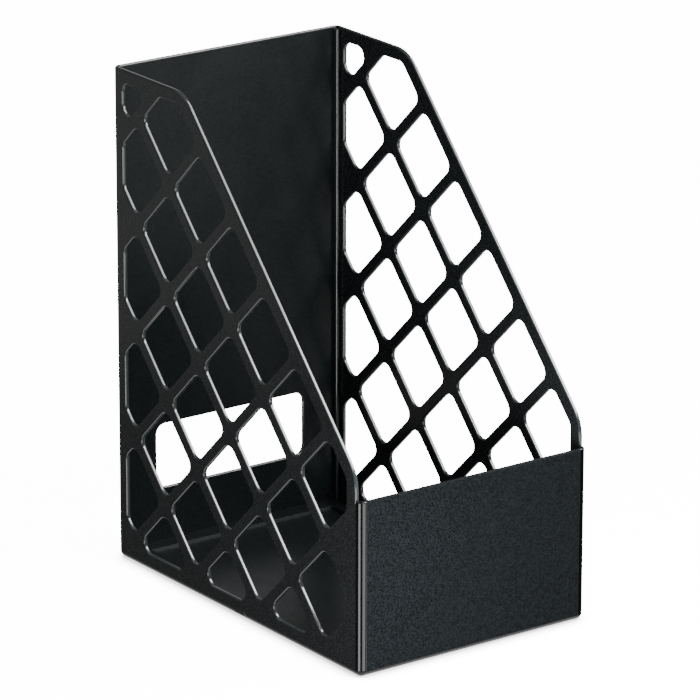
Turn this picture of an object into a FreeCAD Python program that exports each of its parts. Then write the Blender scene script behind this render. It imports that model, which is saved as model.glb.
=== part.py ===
"""Free-standing magazine file with lattice sides, moulded as five panels that snap together.

Frame: millimetres, origin on the ground under the middle of the box, +Z up, +Y towards the
tall back, +X to the right of someone who faces the low front.
"""
import FreeCAD
import Part

import math
import os

Vec = FreeCAD.Vector

# Overall size
WIDTH = 158.75
DEPTH = 241.3
HEIGHT = 298.45
FRONT_HEIGHT = 103.5
WALL = 2.5
CORNER_RADIUS = 4.0
EDGE_RADIUS = 0.9           # on the rims and around every opening
SEAM = 0.1                  # gap between two panels, and clearance in every joint

# Sloped rim of a side panel
SLOPE_ANGLE = 47.5
SLOPE_TOP_Y = 49.0          # where the slope, carried on, meets the level top
RIM_RADIUS = 25.0

# Lattice of a side panel
FALL_ANGLE = -43.8          # the rising bars follow the slope
BAR_PITCH = 45.4
BAR_WIDTH = 7.0
CROSSING = (64.6, 240.0)    # y and z of one crossing of two bars
OPENING_RADIUS = 6.0
FRAME_FRONT = 13.0          # plain margins, from the overall size inwards
FRAME_BACK = 10.0
FRAME_TOP = 8.0
FRAME_BOTTOM = 10.8
SMALLEST_OPENING = 250.0    # square millimetres; smaller corners stay solid

# Finger slot in the back panel
SLOT_WIDTH = 105.6
SLOT_HEIGHT = 39.4
SLOT_CENTRE_Z = 56.5
SLOT_RADIUS = 6.0

# Bottom flanges turned in under the base, and the base's raised rim on top of them
FLANGE = 11.0
BASE_RIM = 2.2
BASE_OVERLAP = 3.0

# Tongue along a side panel's edges, and the grooved lip that holds it
TONGUE = 1.1
TONGUE_DEPTH = 2.0
LIP = 2.4
LIP_DEPTH = 4.0
LIP_DROP = 1.5              # the lip stops this far below the rim

# Catches that lock the base
CATCH_Y = -4.5              # a little in front of the middle
CATCH_WIDTH = 10.0
CATCH_RECESS = 0.1
CATCH_ROUNDING = 0.6
TAB_WIDTH = 20.0
TAB_SPACING = 90.0
TAB_DEPTH = 1.1

HALF_W = WIDTH / 2
HALF_D = DEPTH / 2
INNER_X = HALF_W - WALL
INNER_Y = HALF_D - WALL
SEAM_Y = HALF_D - CORNER_RADIUS
JOINT_Z = WALL + BASE_RIM + SEAM     # the lips and tongues start above the base
X_AXIS, Y_AXIS, Z_AXIS = Vec(1, 0, 0), Vec(0, 1, 0), Vec(0, 0, 1)
ORIGIN = Vec(0, 0, 0)
NEAR = 0.01                          # tolerance when edges are picked by their bounding box


def box(x, y, z):
    """Box between two values on each axis."""
    size = [high - low for low, high in (x, y, z)]
    return Part.makeBox(*size, Vec(x[0], y[0], z[0]))


def mirrored(shape, normal):
    return shape.mirror(ORIGIN, normal)


def edges_along(shape, axis, test):
    """Straight edges that run along an axis and whose middle passes the test."""
    found = []
    for edge in shape.Edges:
        run = edge.lastVertex().Point - edge.firstVertex().Point
        if run.Length > 1e-6 and run.cross(axis).Length < 1e-6 * run.Length and test(edge.CenterOfMass):
            found.append(edge)
    return found


def outline_face(outline):
    """Flat face in the plane x = 0 inside (y, z) corners."""
    points = [Vec(0, y, z) for y, z in outline]
    return Part.Face(Part.makePolygon(points + points[:1]))


def rounded_opening(outline):
    """Face with every corner of a convex outline rounded, however short its sides are."""
    return outline_face(outline).makeOffset2D(-OPENING_RADIUS).makeOffset2D(OPENING_RADIUS)


def softened(shape, test):
    """The shape with the edges that pass the test rounded, tested on their bounding boxes."""
    return shape.makeFillet(EDGE_RADIUS, [edge for edge in shape.Edges if test(edge.BoundBox)])


def shell(height):
    """The box as if moulded in one at this height, with rounded outer corners and rim and no top."""
    outer = box((-HALF_W, HALF_W), (-HALF_D, HALF_D), (0, height))
    sharp = edges_along(outer, Z_AXIS, lambda middle: True)
    sharp += edges_along(outer, X_AXIS, lambda middle: middle.z < 1)
    sharp += edges_along(outer, Y_AXIS, lambda middle: middle.z < 1)
    outer = outer.makeFillet(CORNER_RADIUS, sharp)
    cavity = box((-INNER_X, INNER_X), (-INNER_Y, INNER_Y), (WALL, height + 1))
    cavity = cavity.makeFillet(CORNER_RADIUS - WALL, edges_along(cavity, Z_AXIS, lambda middle: True))
    walls = outer.cut(cavity)
    return softened(walls, lambda bounds: bounds.ZMin > height - NEAR)


def bar_normal(angle):
    """Direction across a bar, in which the bars are counted downwards."""
    turn = math.radians(angle)
    return math.sin(turn), -math.cos(turn)


def lattice_point(across_rising, across_falling):
    """The point at these distances from the two bars through the reference crossing."""
    a, b = bar_normal(SLOPE_ANGLE)
    c, d = bar_normal(FALL_ANGLE)
    scale = a * d - b * c
    y = (across_rising * d - across_falling * b) / scale
    z = (across_falling * a - across_rising * c) / scale
    return CROSSING[0] + y, CROSSING[1] + z


def clipped(points, axis, limit, sign):
    """Part of a convex outline where sign times the coordinate is at least sign times the limit."""
    kept = []
    for index, end in enumerate(points):
        start = points[index - 1]
        start_depth = sign * (start[axis] - limit)
        end_depth = sign * (end[axis] - limit)
        if start_depth * end_depth < 0:
            share = start_depth / (start_depth - end_depth)
            kept.append(tuple(s + share * (e - s) for s, e in zip(start, end)))
        if end_depth >= 0:
            kept.append(end)
    return kept


def area(points):
    total = 0.0
    for index, (y, z) in enumerate(points):
        total += points[index - 1][0] * z - y * points[index - 1][1]
    return abs(total) / 2


def opening_outline(rows, columns):
    """Outline between two rising and two falling bars, cut off at the plain frame, or nothing."""
    half_bar = BAR_WIDTH / 2
    rising = [row * BAR_PITCH + inset for row, inset in zip(rows, (half_bar, -half_bar))]
    falling = [column * BAR_PITCH + inset for column, inset in zip(columns, (half_bar, -half_bar))]
    corners = ((0, 0), (1, 0), (1, 1), (0, 1))
    outline = [lattice_point(rising[i], falling[j]) for i, j in corners]
    outline = clipped(outline, 0, FRAME_FRONT - HALF_D, 1)
    outline = clipped(outline, 0, HALF_D - FRAME_BACK, -1)
    outline = clipped(outline, 1, FRAME_BOTTOM, 1)
    outline = clipped(outline, 1, HEIGHT - FRAME_TOP, -1)
    if len(outline) < 3 or area(outline) < SMALLEST_OPENING:
        return []
    return [outline]


def lattice_openings():
    """Outlines of all openings; the top back corner is a single one with no rising bar in it."""
    outlines = opening_outline((-1, 2), (-3, -1))
    for row in range(-1, 5):
        for column in range(-1, 7):
            outlines += opening_outline((row, row + 1), (column, column + 1))
    return outlines


def tongue(height, gap):
    """Strip along a side panel's front edge, with room around it when it cuts the groove."""
    x = (-INNER_X - TONGUE - gap, -INNER_X + gap)
    y = (-SEAM_Y - TONGUE_DEPTH - gap, -SEAM_Y + WALL)
    return box(x, y, (JOINT_Z, height))


def lattice_wall(reach):
    """Flat wall with the lattice and the sloped rim, carried on past the back and the bottom."""
    rise = (SLOPE_TOP_Y + reach) * math.tan(math.radians(SLOPE_ANGLE))
    outline = [(-reach, -WALL), (HALF_D, -WALL), (HALF_D, HEIGHT),
               (SLOPE_TOP_Y, HEIGHT), (-reach, HEIGHT - rise)]
    wall = outline_face(outline).extrude(X_AXIS * WALL)
    slope_ends = edges_along(wall, X_AXIS, lambda middle: middle.y < SEAM_Y and middle.z > 0)
    wall = wall.makeFillet(RIM_RADIUS, slope_ends)
    wall = wall.cut([rounded_opening(opening).extrude(X_AXIS * WALL) for opening in lattice_openings()])
    wall.translate(X_AXIS * -HALF_W)
    return softened(wall.Solids[0], lambda bounds: bounds.XLength < NEAR)


def left_side_panel():
    """Lattice wall with a flange turned in along its bottom and a tongue on each upright edge."""
    whole = shell(HEIGHT + WALL)
    reach = SEAM_Y - SEAM
    wall = lattice_wall(reach).common(box((-HALF_W, 0), (-reach, reach), (0, HEIGHT)))
    # Behind the front wall's corner the upright edge stays square; above it the edge is rounded
    square_edge = box((-HALF_W, -INNER_X), (-reach, 2 * EDGE_RADIUS - reach), (0, FRONT_HEIGHT - LIP_DROP))
    foot = box((-HALF_W, FLANGE - HALF_W), (-reach, reach), (0, WALL))
    panel = wall.fuse([square_edge, foot]).common(whole)
    front_tongue = tongue(FRONT_HEIGHT - LIP_DROP, 0)
    back_tongue = mirrored(tongue(HEIGHT - LIP_DROP, 0), Y_AXIS)
    panel = panel.fuse([front_tongue, back_tongue]).removeSplitter()
    half = CATCH_WIDTH / 2 + SEAM
    window = box((-HALF_W - 1, 1 - INNER_X), (CATCH_Y - half, CATCH_Y + half),
                 (WALL, WALL + BASE_RIM + 2 * SEAM))
    return panel.cut(window)


def lip(height):
    """Inner side of the groove in a front corner, rounded on its free edge."""
    x = (-INNER_X + SEAM, -INNER_X + LIP)
    y = (-INNER_Y - WALL / 2, -INNER_Y + LIP_DEPTH)
    strip = box(x, y, (JOINT_Z, height))
    free = edges_along(strip, Z_AXIS, lambda middle: middle.x > x[1] - 0.1 and middle.y > y[1] - 0.1)
    return strip.makeFillet(LIP / 2, free)


def end_panel(height):
    """Front wall with its two rounded corners, grooved lips and bottom flange."""
    whole = shell(height)
    wall = whole.common(box((-HALF_W, HALF_W), (-HALF_D, -SEAM_Y), (0, height)))
    side = HALF_W - FLANGE - SEAM
    flange = whole.common(box((-side, side), (-HALF_D, FLANGE - HALF_D), (0, WALL)))
    left_lip = lip(height - LIP_DROP)
    panel = wall.fuse([flange, left_lip, mirrored(left_lip, X_AXIS)]).removeSplitter()
    groove = tongue(height + 1, SEAM)
    cuts = [groove, mirrored(groove, X_AXIS)]
    for x in (-TAB_SPACING / 2, TAB_SPACING / 2):
        half = TAB_WIDTH / 2 + SEAM
        depth = (-INNER_Y - TAB_DEPTH - 2 * SEAM, -INNER_Y)
        cuts.append(box((x - half, x + half), depth, (WALL, WALL + BASE_RIM + SEAM)))
    return panel.cut(cuts)


def back_panel():
    """Tall end panel with a finger slot near its bottom."""
    panel = mirrored(end_panel(HEIGHT), Y_AXIS)
    low, high = SLOT_CENTRE_Z - SLOT_HEIGHT / 2, SLOT_CENTRE_Z + SLOT_HEIGHT / 2
    slot = box((-SLOT_WIDTH / 2, SLOT_WIDTH / 2), (INNER_Y - 1, HALF_D + 1), (low, high))
    slot = slot.makeFillet(SLOT_RADIUS, edges_along(slot, Y_AXIS, lambda middle: True))
    return softened(panel.cut(slot), lambda bounds: bounds.YLength < NEAR
                    and bounds.ZMin > low - NEAR and bounds.ZMax < high + NEAR)


def base_panel():
    """Floor that drops between the flanges, hangs on its raised rim and locks with its tabs."""
    reach_x, reach_y = HALF_W - FLANGE - SEAM, HALF_D - FLANGE - SEAM
    floor = box((-reach_x, reach_x), (-reach_y, reach_y), (0, WALL))
    rim_z = (WALL, WALL + BASE_RIM)
    rim = box((SEAM - INNER_X, INNER_X - SEAM), (SEAM - INNER_Y, INNER_Y - SEAM), rim_z)
    rim = rim.makeFillet(CORNER_RADIUS - WALL, edges_along(rim, Z_AXIS, lambda middle: True))
    inside_x, inside_y = reach_x - BASE_OVERLAP, reach_y - BASE_OVERLAP
    rim = rim.cut(box((-inside_x, inside_x), (-inside_y, inside_y), (0, 2 * WALL + BASE_RIM)))
    half = CATCH_WIDTH / 2
    catch = box((CATCH_RECESS - HALF_W, -inside_x), (CATCH_Y - half, CATCH_Y + half), rim_z)
    outer = edges_along(catch, Z_AXIS, lambda middle: middle.x < -INNER_X)
    catch = catch.makeFillet(CATCH_ROUNDING, outer)
    tabs = [catch, mirrored(catch, X_AXIS)]
    for x in (-TAB_SPACING / 2, TAB_SPACING / 2):
        width = (x - TAB_WIDTH / 2, x + TAB_WIDTH / 2)
        front_tab = box(width, (-INNER_Y - TAB_DEPTH, -inside_y), rim_z)
        tabs += [front_tab, mirrored(front_tab, Y_AXIS)]
    return floor.fuse([rim] + tabs).removeSplitter()


def main():
    left = left_side_panel()
    panels = {
        "front_panel": end_panel(FRONT_HEIGHT),
        "back_panel": back_panel(),
        "left_side_panel": left,
        "right_side_panel": mirrored(left, X_AXIS),
        "base_panel": base_panel(),
    }
    os.makedirs("parts", exist_ok=True)
    for name, panel in panels.items():
        panel.exportStep("parts/" + name + ".step")
        print(name, "valid", panel.isValid(), "solids", len(panel.Solids), "volume", round(panel.Volume))


main()
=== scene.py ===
"""Looks of the magazine file holder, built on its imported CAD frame. Metres, the same frame as the CAD."""

import math

import bpy
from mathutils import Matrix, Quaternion, Vector


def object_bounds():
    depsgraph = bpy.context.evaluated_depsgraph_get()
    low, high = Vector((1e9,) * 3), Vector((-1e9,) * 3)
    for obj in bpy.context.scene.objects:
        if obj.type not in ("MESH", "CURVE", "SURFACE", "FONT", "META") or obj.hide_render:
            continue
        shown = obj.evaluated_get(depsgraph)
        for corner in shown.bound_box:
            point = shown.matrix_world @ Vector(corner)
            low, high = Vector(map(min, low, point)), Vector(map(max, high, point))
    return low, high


# Noise scales, roughly in features per metre
GRAIN = 1700.0              # fine moulded grain
PEBBLE = 950.0              # the coarser grain under it
SOFT_MOTTLE = 55.0          # slow change of gloss across a panel
MOTTLE_SPAN = (0.3, 0.7)    # the part of the mottle's values that is used

# Front wall: fine grain with smooth strips. Tones run from the darkest colour to the lightest
CORNER_BAND = 0.0049        # smooth strip along its upright corners
BORDER = 0.0030             # smooth strip along its foot
FADE = 0.0006               # a strip fades out over this much on either side of its border
GRAINED_TONES = ((0.0004, 0.0008, 0.0010), (0.0088, 0.0112, 0.0124))
GRAINED_CONTRAST = (0.40, 0.60)     # grain heights that are darkest and lightest
GRAINED_FINE = 0.7          # share of the fine grain in the mix
GRAINED_BUMP = (0.7, 0.0003)        # strength and height
MATTE = (0.66, 0.74)        # roughness of the grain
GLOSSY = (0.16, 0.20)       # roughness of the smooth strips
FRONT_SHINE = (0.12, 0.6)   # specular level of the grain and of the strips

# The other panels: satin faces, glossier edges painted lighter as a painted highlight, and on some a dull
# face painted darker as painted shade
SATIN_TONES = ((0.0040, 0.0050, 0.0055), (0.0330, 0.0380, 0.0400))
SATIN_CONTRAST = (0.38, 0.62)
SATIN_FINE = 0.6
SATIN_BUMP = (0.35, 0.00022)
SATIN = (0.17, 0.24)        # roughness of the faces
SATIN_SHINE = (0.5, 0.9)    # specular level of the faces and of the edges
EDGE_HIGHLIGHT_TONE = 0.8             # place of the edges' colour between the two tones, lighter as a painted highlight
EDGE_POLISH = 0.05          # how much less rough the edges are
# Painted shade: the darker tones that a dull face inside the file is given
INSIDE_SHADE_TONES = ((0.0030, 0.0040, 0.0044), (0.0085, 0.0105, 0.0112))
DULLER = 0.11               # how much rougher a dull face is
DULL_LOSS = 0.3             # how much specular level it loses

CAMERA_AT = Vector((-1.7030305, -2.3469860, 1.1027186))
CAMERA_AIM = Vector((0.0273614, 0.0358007, 0.1294806))
CAMERA_ROLL = math.radians(0.1033)
LENS = 275.029
SENSOR = 36.0

# Windows of light round the studio. Azimuth runs from the front (-Y) towards +X and both angles are in
# degrees: centre and half width in azimuth, centre and half height in elevation, soft edge, strength
WINDOWS = (
    (36, 58, 48, 15, 14, 7.5),      # long softbox above the front, seen in every slanted rim
    (144, 34, 18, 16, 14, 0.5),     # backdrop behind the right, seen in the level rims
    (5, 22, -18, 10, 4, 4.2),       # low strip at the front, seen in the smooth band of the upright corner
    (-67, 16, -18, 10, 4, 6.5),     # low strip at the left, the thin bright line on that corner
    (-118, 24, 40, 22, 18, 0.7),    # weak fill from the upper left
    (-144, 30, 0, 40, 24, 0.10),    # dim wall at the back left, the sheen of the side
    (118, 24, -12, 16, 10, 0.9),    # low glow at the back right, the sheen of the back's outside
)
NADIR = (-50, -28, 1.3)             # glow of the floor: elevation where it is full, where it ends, strength
AMBIENT = 0.06

# Lamps near the object: place, aim, side, watts, whether they are mirrored in it. The first makes the
# front darker to the right, the second lifts the side's back and top, the third the lower slanted rims
LAMPS = (
    ((-0.09, -0.27, 0.055), (-0.05, -0.12, 0.05), 0.12, 0.95, False),
    ((-0.414, 0.660, 0.085), (-0.079, 0.20, 0.27), 0.34, 0.075, True),
    ((0.199, -0.270, 0.399), (-0.08, -0.08, 0.03), 0.24, 2.4, True),
)

# Floor: a plain glowing sheet, darker where the object stands close to it
FLOOR_HALF = 6.0
FLOOR_DROP = 0.0002         # how far it lies under the object's foot
FLOOR_TONES = ((0.86, 0.86, 0.86), (0.89, 0.89, 0.89))
FLOOR_GLOW = 14.0
CONTACT_REACH = 0.012       # how far the contact shadow reaches
CONTACT_SPAN = (0.35, 0.95)         # openness where it is darkest and where it ends
CONTACT_GLOW = 0.12         # share of the glow that is left at its darkest

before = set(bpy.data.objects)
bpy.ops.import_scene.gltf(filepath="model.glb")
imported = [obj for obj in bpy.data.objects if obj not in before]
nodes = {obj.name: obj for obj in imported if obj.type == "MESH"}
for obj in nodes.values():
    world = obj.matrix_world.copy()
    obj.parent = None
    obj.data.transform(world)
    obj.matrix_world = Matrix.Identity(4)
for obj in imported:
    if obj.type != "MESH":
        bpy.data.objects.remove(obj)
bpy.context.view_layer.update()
half_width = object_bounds()[1].x


class Graph:
    """A material's nodes, added one call at a time."""

    def __init__(self, name):
        self.material = bpy.data.materials.new(name)
        self.material.use_nodes = True
        self.tree = self.material.node_tree
        self.shader = self.tree.nodes["Principled BSDF"]
        self.position = self.add("ShaderNodeTexCoord").outputs["Object"]

    def add(self, kind, **settings):
        node = self.tree.nodes.new(kind)
        for key, value in settings.items():
            setattr(node, key, value)
        return node

    def feed(self, socket, value):
        if isinstance(value, bpy.types.NodeSocket):
            self.tree.links.new(value, socket)
        else:
            socket.default_value = value

    def noise(self, scale, detail, roughness=0.5):
        node = self.add("ShaderNodeTexNoise")
        self.feed(node.inputs["Vector"], self.position)
        for key, value in (("Scale", scale), ("Detail", detail), ("Roughness", roughness)):
            self.feed(node.inputs[key], value)
        return node.outputs["Fac"]

    def math(self, operation, *values):
        node = self.add("ShaderNodeMath", operation=operation)
        for socket, value in zip(node.inputs, values):
            self.feed(socket, value)
        return node.outputs[0]

    def mapped(self, value, source, target, smooth=True):
        node = self.add("ShaderNodeMapRange", interpolation_type="SMOOTHSTEP" if smooth else "LINEAR")
        for socket, number in zip(node.inputs, (value, *source, *target)):
            self.feed(socket, number)
        return node.outputs[0]

    def axis(self, name):
        node = self.add("ShaderNodeSeparateXYZ")
        self.feed(node.inputs[0], self.position)
        return node.outputs[name]

    def mixed(self, share, first, second):
        node = self.add("ShaderNodeMix", data_type="RGBA")
        for key, value in (("Factor", share), (6, first), (7, second)):
            self.feed(node.inputs[key], value)
        return node.outputs[2]

    def blend(self, share, tones):
        dark, light = tones
        return self.mixed(share, (*dark, 1), (*light, 1))

    def grain(self, fine_share):
        fine = self.math("MULTIPLY", self.noise(GRAIN, 2.0, 0.6), fine_share)
        return self.math("ADD", fine, self.math("MULTIPLY", self.noise(PEBBLE, 1.0), 1.0 - fine_share))

    def normal(self, across):
        node = self.add("ShaderNodeSeparateXYZ")
        self.feed(node.inputs[0], self.add("ShaderNodeNewGeometry").outputs["Normal"])
        return node.outputs[across]

    def off_face(self, across):
        """0 on a panel's two faces, 1 on its rounded edges and the walls of its openings."""
        return self.mapped(self.math("ABSOLUTE", self.normal(across)), (0.90, 0.995), (1.0, 0.0))

    def facing(self, across, side):
        """1 where the surface faces that side, +1 or -1, along the axis."""
        return self.mapped(self.math("MULTIPLY", self.normal(across), side), (0.4, 0.6), (0.0, 1.0))

    def bump(self, height, strength, distance):
        node = self.add("ShaderNodeBump")
        for key, value in (("Height", height), ("Strength", strength), ("Distance", distance)):
            self.feed(node.inputs[key], value)
        self.feed(self.shader.inputs["Normal"], node.outputs["Normal"])

    def finish(self, colour, rough, shine):
        for key, value in (("Base Color", colour), ("Roughness", rough), ("Specular IOR Level", shine)):
            self.feed(self.shader.inputs[key], value)


def grained_plastic():
    """Front wall: fine matte grain that stops short of its smooth, glossier borders."""
    g = Graph("grained_black")
    inner = half_width - CORNER_BAND
    corner = g.mapped(g.math("ABSOLUTE", g.axis("X")), (inner - FADE, inner + FADE), (0.0, 1.0))
    foot = g.mapped(g.axis("Z"), (BORDER - FADE, BORDER + FADE), (1.0, 0.0))
    smooth = g.math("MAXIMUM", corner, foot)
    grained = g.math("SUBTRACT", 1.0, smooth)
    grain = g.grain(GRAINED_FINE)
    mottle = g.noise(SOFT_MOTTLE, 3.0)
    speckle = g.math("MULTIPLY", g.mapped(grain, GRAINED_CONTRAST, (0.0, 1.0)), grained)
    matte = g.mapped(mottle, MOTTLE_SPAN, MATTE, smooth=False)
    glossy = g.mapped(mottle, MOTTLE_SPAN, GLOSSY, smooth=False)
    rough = g.math("ADD", g.math("MULTIPLY", matte, grained), g.math("MULTIPLY", glossy, smooth))
    shine = g.mapped(smooth, (0.0, 1.0), FRONT_SHINE, smooth=False)
    g.finish(g.blend(speckle, GRAINED_TONES), rough, shine)
    g.bump(g.math("MULTIPLY", grain, grained), *GRAINED_BUMP)
    return g.material


def satin_plastic(name, across, dull_shaded_face=0):
    """Satin with a shallow grain and slow gloss changes, and glossier edges that are painted a lighter
    colour as a painted highlight.

    The face that looks along the axis across towards the side given by the last argument, +1 or -1, is
    rougher and less shiny and is painted darker, a painted shade inside the file; 0 is for none.
    """
    g = Graph(name)
    grain = g.grain(SATIN_FINE)
    polish_and_highlight = g.off_face(across)
    flat = g.math("SUBTRACT", 1.0, polish_and_highlight)
    shade = g.math("MULTIPLY", g.mapped(grain, SATIN_CONTRAST, (0.0, 1.0)), flat)
    # Edges and the walls of openings get a lighter colour, a painted highlight, on top of their real polish
    # in roughness and specular
    tone = g.math("MAXIMUM", shade, g.math("MULTIPLY", polish_and_highlight, EDGE_HIGHLIGHT_TONE))
    colour = g.blend(tone, SATIN_TONES)
    rough = g.mapped(g.noise(SOFT_MOTTLE, 4.0), MOTTLE_SPAN, SATIN, smooth=False)
    rough = g.math("SUBTRACT", rough, g.math("MULTIPLY", polish_and_highlight, EDGE_POLISH))
    shine = g.mapped(polish_and_highlight, (0.0, 1.0), SATIN_SHINE, smooth=False)
    if dull_shaded_face:
        # A dull face is rougher and less shiny, and its colour is darker: painted shade inside the file
        dull_and_shaded = g.math("MULTIPLY", g.facing(across, dull_shaded_face), flat)
        colour = g.mixed(dull_and_shaded, colour, g.blend(tone, INSIDE_SHADE_TONES))
        rough = g.math("ADD", rough, g.math("MULTIPLY", dull_and_shaded, DULLER))
        shine = g.math("SUBTRACT", shine, g.math("MULTIPLY", dull_and_shaded, DULL_LOSS))
    g.finish(colour, rough, shine)
    g.bump(g.math("MULTIPLY", grain, flat), *SATIN_BUMP)
    return g.material


def dress(names, material):
    for name in names:
        for slot in nodes[name].material_slots:
            slot.material = material


def look_at(thing, target):
    thing.rotation_mode = "QUATERNION"
    thing.rotation_quaternion = (target - thing.location).to_track_quat("-Z", "Y")


def add_floor():
    mesh = bpy.data.meshes.new("floor")
    corners = [(x * FLOOR_HALF, y * FLOOR_HALF, 0) for x, y in ((-1, -1), (1, -1), (1, 1), (-1, 1))]
    mesh.from_pydata(corners, [], [(0, 1, 2, 3)])
    floor = bpy.data.objects.new("floor", mesh)
    floor.location.z = -FLOOR_DROP
    bpy.context.scene.collection.objects.link(floor)
    g = Graph("floor")
    tone = g.mapped(g.noise(3.0, 2.0), MOTTLE_SPAN, (0.0, 1.0))
    g.feed(g.shader.inputs["Base Color"], g.blend(tone, FLOOR_TONES))
    g.feed(g.shader.inputs["Roughness"], 0.9)
    contact = g.add("ShaderNodeAmbientOcclusion", samples=16)
    g.feed(contact.inputs["Distance"], CONTACT_REACH)
    glow = g.mapped(contact.outputs["AO"], CONTACT_SPAN, (CONTACT_GLOW * FLOOR_GLOW, FLOOR_GLOW))
    g.feed(g.shader.inputs["Emission Color"], (1, 1, 1, 1))
    g.feed(g.shader.inputs["Emission Strength"], glow)
    mesh.materials.append(g.material)
    # Unseen by reflections and bounced light, so that only the world and the lamps light the object
    floor.visible_glossy = floor.visible_diffuse = False


def add_camera():
    data = bpy.data.cameras.new("camera")
    data.lens, data.sensor_width = LENS, SENSOR
    data.clip_start, data.clip_end = 0.05, 50.0
    camera = bpy.data.objects.new("camera", data)
    camera.location = CAMERA_AT
    bpy.context.scene.collection.objects.link(camera)
    look_at(camera, CAMERA_AIM)
    camera.rotation_quaternion @= Quaternion((0, 0, 1), CAMERA_ROLL)
    bpy.context.scene.camera = camera


def add_lamps():
    for place, aim, side, watts, mirrored in LAMPS:
        data = bpy.data.lights.new("lamp", "AREA")
        data.energy, data.size = watts, side
        lamp = bpy.data.objects.new("lamp", data)
        lamp.location = place
        lamp.visible_camera, lamp.visible_glossy = False, mirrored
        bpy.context.scene.collection.objects.link(lamp)
        look_at(lamp, Vector(aim))


class Sky:
    """The world's nodes: what strength of light comes from each direction."""

    def __init__(self):
        world = bpy.data.worlds.new("studio")
        world.use_nodes = True
        bpy.context.scene.world = world
        self.tree = world.node_tree
        self.seen = self.tree.nodes.new("ShaderNodeTexCoord").outputs["Generated"]
        self.elevation = self.degrees("ARCSINE", self.along((0, 0, 1)))
        self.total = AMBIENT

    def math(self, operation, *values):
        node = self.tree.nodes.new("ShaderNodeMath")
        node.operation = operation
        for socket, value in zip(node.inputs, values):
            if isinstance(value, bpy.types.NodeSocket):
                self.tree.links.new(value, socket)
            else:
                socket.default_value = value
        return node.outputs[0]

    def degrees(self, operation, *values):
        return self.math("DEGREES", self.math(operation, *values))

    def along(self, direction):
        node = self.tree.nodes.new("ShaderNodeVectorMath")
        node.operation = "DOT_PRODUCT"
        self.tree.links.new(self.seen, node.inputs[0])
        node.inputs[1].default_value = direction
        return node.outputs["Value"]

    def falloff(self, value, full, none):
        """1 up to the first value, 0 past the second, in either order."""
        node = self.tree.nodes.new("ShaderNodeMapRange")
        node.interpolation_type = "SMOOTHSTEP"
        self.tree.links.new(value, node.inputs["Value"])
        for name, number in (("From Min", full), ("From Max", none), ("To Min", 1.0), ("To Max", 0.0)):
            node.inputs[name].default_value = number
        return node.outputs["Result"]

    def add(self, shape, strength):
        self.total = self.math("ADD", self.total, self.math("MULTIPLY", shape, strength))

    def window(self, azimuth, half_azimuth, elevation, half_elevation, soft, strength):
        turn = math.radians(azimuth)
        ahead = self.along((math.sin(turn), -math.cos(turn), 0))
        aside = self.along((math.cos(turn), math.sin(turn), 0))
        off_azimuth = self.math("ABSOLUTE", self.degrees("ARCTAN2", aside, ahead))
        off_elevation = self.math("ABSOLUTE", self.math("SUBTRACT", self.elevation, elevation))
        wide = self.falloff(off_azimuth, half_azimuth - soft / 2, half_azimuth + soft / 2)
        tall = self.falloff(off_elevation, half_elevation - soft / 2, half_elevation + soft / 2)
        self.add(self.math("MULTIPLY", wide, tall), strength)

    def finish(self):
        background = self.tree.nodes["Background"]
        background.inputs["Color"].default_value = (1, 1, 1, 1)
        self.tree.links.new(self.total, background.inputs["Strength"])


def add_world():
    sky = Sky()
    for window in WINDOWS:
        sky.window(*window)
    full, none, strength = NADIR
    sky.add(sky.falloff(sky.elevation, full, none), strength)
    sky.finish()


dress(["front_panel"], grained_plastic())
dress(["left_side_panel", "right_side_panel"], satin_plastic("satin_sides", "X"))
# Painted shade darkens the back's inner face and the base's top face, inside the file
dress(["back_panel"], satin_plastic("satin_back", "Y", dull_shaded_face=-1))
dress(["base_panel"], satin_plastic("satin_base", "Z", dull_shaded_face=1))

add_floor()
add_world()
add_lamps()
add_camera()
